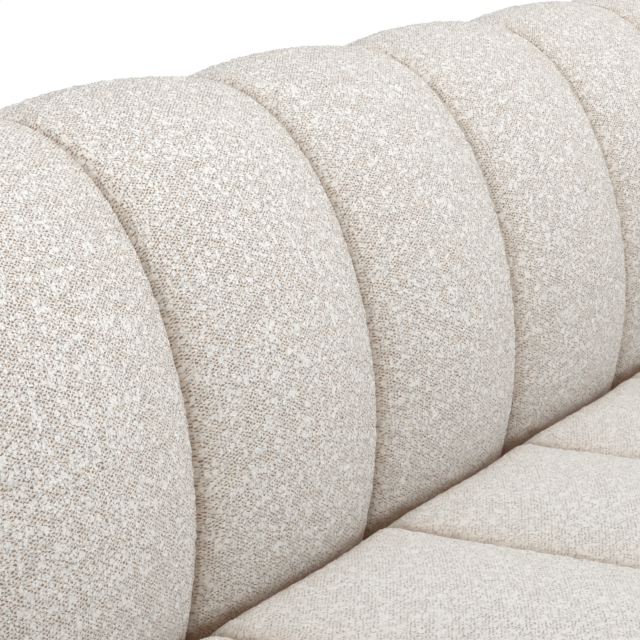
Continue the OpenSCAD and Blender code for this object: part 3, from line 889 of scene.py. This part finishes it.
sleeve = stuffed(seat_length, seat_place(
    HALF_W - CHANNEL_W + SEAM_GAP / 2, SEAT_SIDE, at_arm=True), PUFF)
for side, number in zip(SIDES, (1, BACK_COUNT)):
    piece = copied(sleeve, f"seat_sleeve_{number}", mirrored(side), seed=50 + number)
    covered(piece, f"seat_channel_{number}")
bpy.data.objects.remove(sleeve)

# Dust cover: thin black cloth, heat-bonded in a grid of small dots, stapled under the
# rails to close the frame from below.

LINING_DARK = (0.006, 0.006, 0.007, 1.0)
LINING_PALE = (0.03, 0.03, 0.033, 1.0)


def lining_finish():
    finish = Finish("black_lining")
    place = finish.place()
    dots = finish.node("TexVoronoi", None, {
        "Vector": place, "Scale": 420.0, "Randomness": 0.12})
    fibre = finish.noise(place, 260.0, 4.0, 0.7)
    shade = fibre.between(0.35, 0.7) * (0.4 + dots.between(0.2, 0.45) * 0.6)
    return finish.surface(finish.mixed(shade, LINING_DARK, LINING_PALE),
                          0.95 - shade * 0.1, dots, 0.0003)


dress(["dust_cover"], lining_finish())

# Plinth: dark stained boards with bent pieces round the back corners, set back under the
# frame, on eight nylon glides that are pressed into its lower edge.

STAIN_PALE = (0.036, 0.02, 0.012, 1.0)
STAIN_DARK = (0.013, 0.007, 0.0045, 1.0)
NYLON_DARK = (0.011, 0.011, 0.012, 1.0)
NYLON_PALE = (0.02, 0.02, 0.021, 1.0)
dress(["plinth_boards"], timber_finish("stained_plinth", STAIN_PALE, STAIN_DARK,
                                       grain_along=0, roughness=0.3))


def glide_finish():
    finish = Finish("moulded_nylon")
    grain = finish.noise(finish.place(), 900.0, 3.0, 0.6)
    return finish.surface(finish.mixed(grain, NYLON_DARK, NYLON_PALE), grain * 0.15 + 0.4,
                          grain, 0.0001)


dress(["glides"], glide_finish())

# The photograph's setting: a white studio, with one large soft light high on the right
# before the sofa and a weaker one on the left, and a long lens above the left arm.

FLOOR_SPAN = 40.0
FLOOR_DARK = (0.88, 0.88, 0.87, 1.0)
FLOOR_PALE = (0.91, 0.91, 0.9, 1.0)
WHITE = (1.0, 1.0, 1.0, 1.0)
# The floor shows this share of pure white under the sofa, and turns fully white between
# these distances from its middle
WHITE_LEAST = 0.7
WHITE_FROM = 1.6
WHITE_AT = 4.0


def studio_finish():
    """A white floor that keeps the shadow but shows white to the camera."""
    finish = Finish("studio_floor")
    seen, mirrored_in, seen_through = (finish.node("LightPath", output=f"Is {name} Ray")
                                       for name in ("Camera", "Glossy", "Transmission"))
    seen = seen.most(mirrored_in.most(seen_through))
    place = finish.place()
    far = finish.node("VectorMath", {"operation": "LENGTH"}, {0: place}, "Value")
    white_share = far.between(WHITE_FROM, WHITE_AT) * (1 - WHITE_LEAST) + WHITE_LEAST
    tint = finish.mixed(finish.noise(place, 3.0, 2.0), FLOOR_DARK, FLOOR_PALE)
    matt = finish.node("BsdfDiffuse", None, {"Color": tint})
    white = finish.node("Emission", None, {"Color": WHITE, "Strength": 1.0})
    shader = finish.node("MixShader", None, {0: seen * white_share, 1: matt, 2: white})
    finish.node("OutputMaterial", None, {"Surface": shader})
    return finish.data


bpy.ops.object.select_all(action="DESELECT")
bpy.ops.mesh.primitive_plane_add(size=FLOOR_SPAN)
floor = bpy.context.object
floor.name = "floor"
floor.data.materials.append(studio_finish())

# The walls look white, but light the sofa with this share of it
AMBIENT = 0.55


def studio_walls():
    world = Finish("studio", bpy.data.worlds)
    seen = world.node("LightPath", output="Is Camera Ray").most(
        world.node("LightPath", output="Is Glossy Ray"))
    white = world.node("Background", None, {
        "Color": WHITE, "Strength": seen * (1 - AMBIENT) + AMBIENT})
    world.node("OutputWorld", None, {"Surface": white})
    return world.data


bpy.context.scene.world = studio_walls()

# What the lights point at: the middle of the seat
SEAT_MIDDLE = (0.0, 0.1, 0.4)


def soft_light(name, place, size, power):
    """A square soft box that points at the seat."""
    data = bpy.data.lights.new(name, "AREA")
    data.size = size
    data.energy = power
    lamp = bpy.data.objects.new(name, data)
    bpy.context.collection.objects.link(lamp)
    lamp.location = place
    aim = Vector(SEAT_MIDDLE) - Vector(place)
    lamp.rotation_euler = aim.to_track_quat("-Z", "Y").to_euler()


soft_light("key_light", (1.9, -2.1, 3.6), size=2.8, power=88.0)
soft_light("top_light", (0.3, -0.2, 3.6), size=3.0, power=41.0)
soft_light("fill_light", (-3.3, -1.6, 2.4), size=2.4, power=38.0)

# The camera, from a fit of the photograph's seams: its place, heading, tilt and roll
CAMERA_AT = (-1.183, -0.419, 0.849)
HEADING = 60.99
TILT = 13.40
ROLL = 0.47
FOCAL_PX = 2153.0
PHOTO_PX = 640.0
heading, tilt, roll = (math.radians(v) for v in (HEADING, TILT, ROLL))
ahead = Vector((math.sin(heading) * math.cos(tilt), math.cos(heading) * math.cos(tilt),
                -math.sin(tilt)))
right = Vector((math.cos(heading), -math.sin(heading), 0.0))
up = right.cross(ahead)
right, up = (math.cos(roll) * right + math.sin(roll) * up,
             math.cos(roll) * up - math.sin(roll) * right)
camera_data = bpy.data.cameras.new("camera")
camera_data.sensor_width = 36.0
camera_data.lens = FOCAL_PX / PHOTO_PX * camera_data.sensor_width
camera_data.clip_start = 0.02
camera = bpy.data.objects.new("camera", camera_data)
bpy.context.collection.objects.link(camera)
camera.matrix_world = Matrix.Translation(CAMERA_AT) @ Matrix(
    (right, up, -ahead)).transposed().to_4x4()
bpy.context.scene.camera = camera
bpy.context.scene.view_settings.view_transform = "Standard"
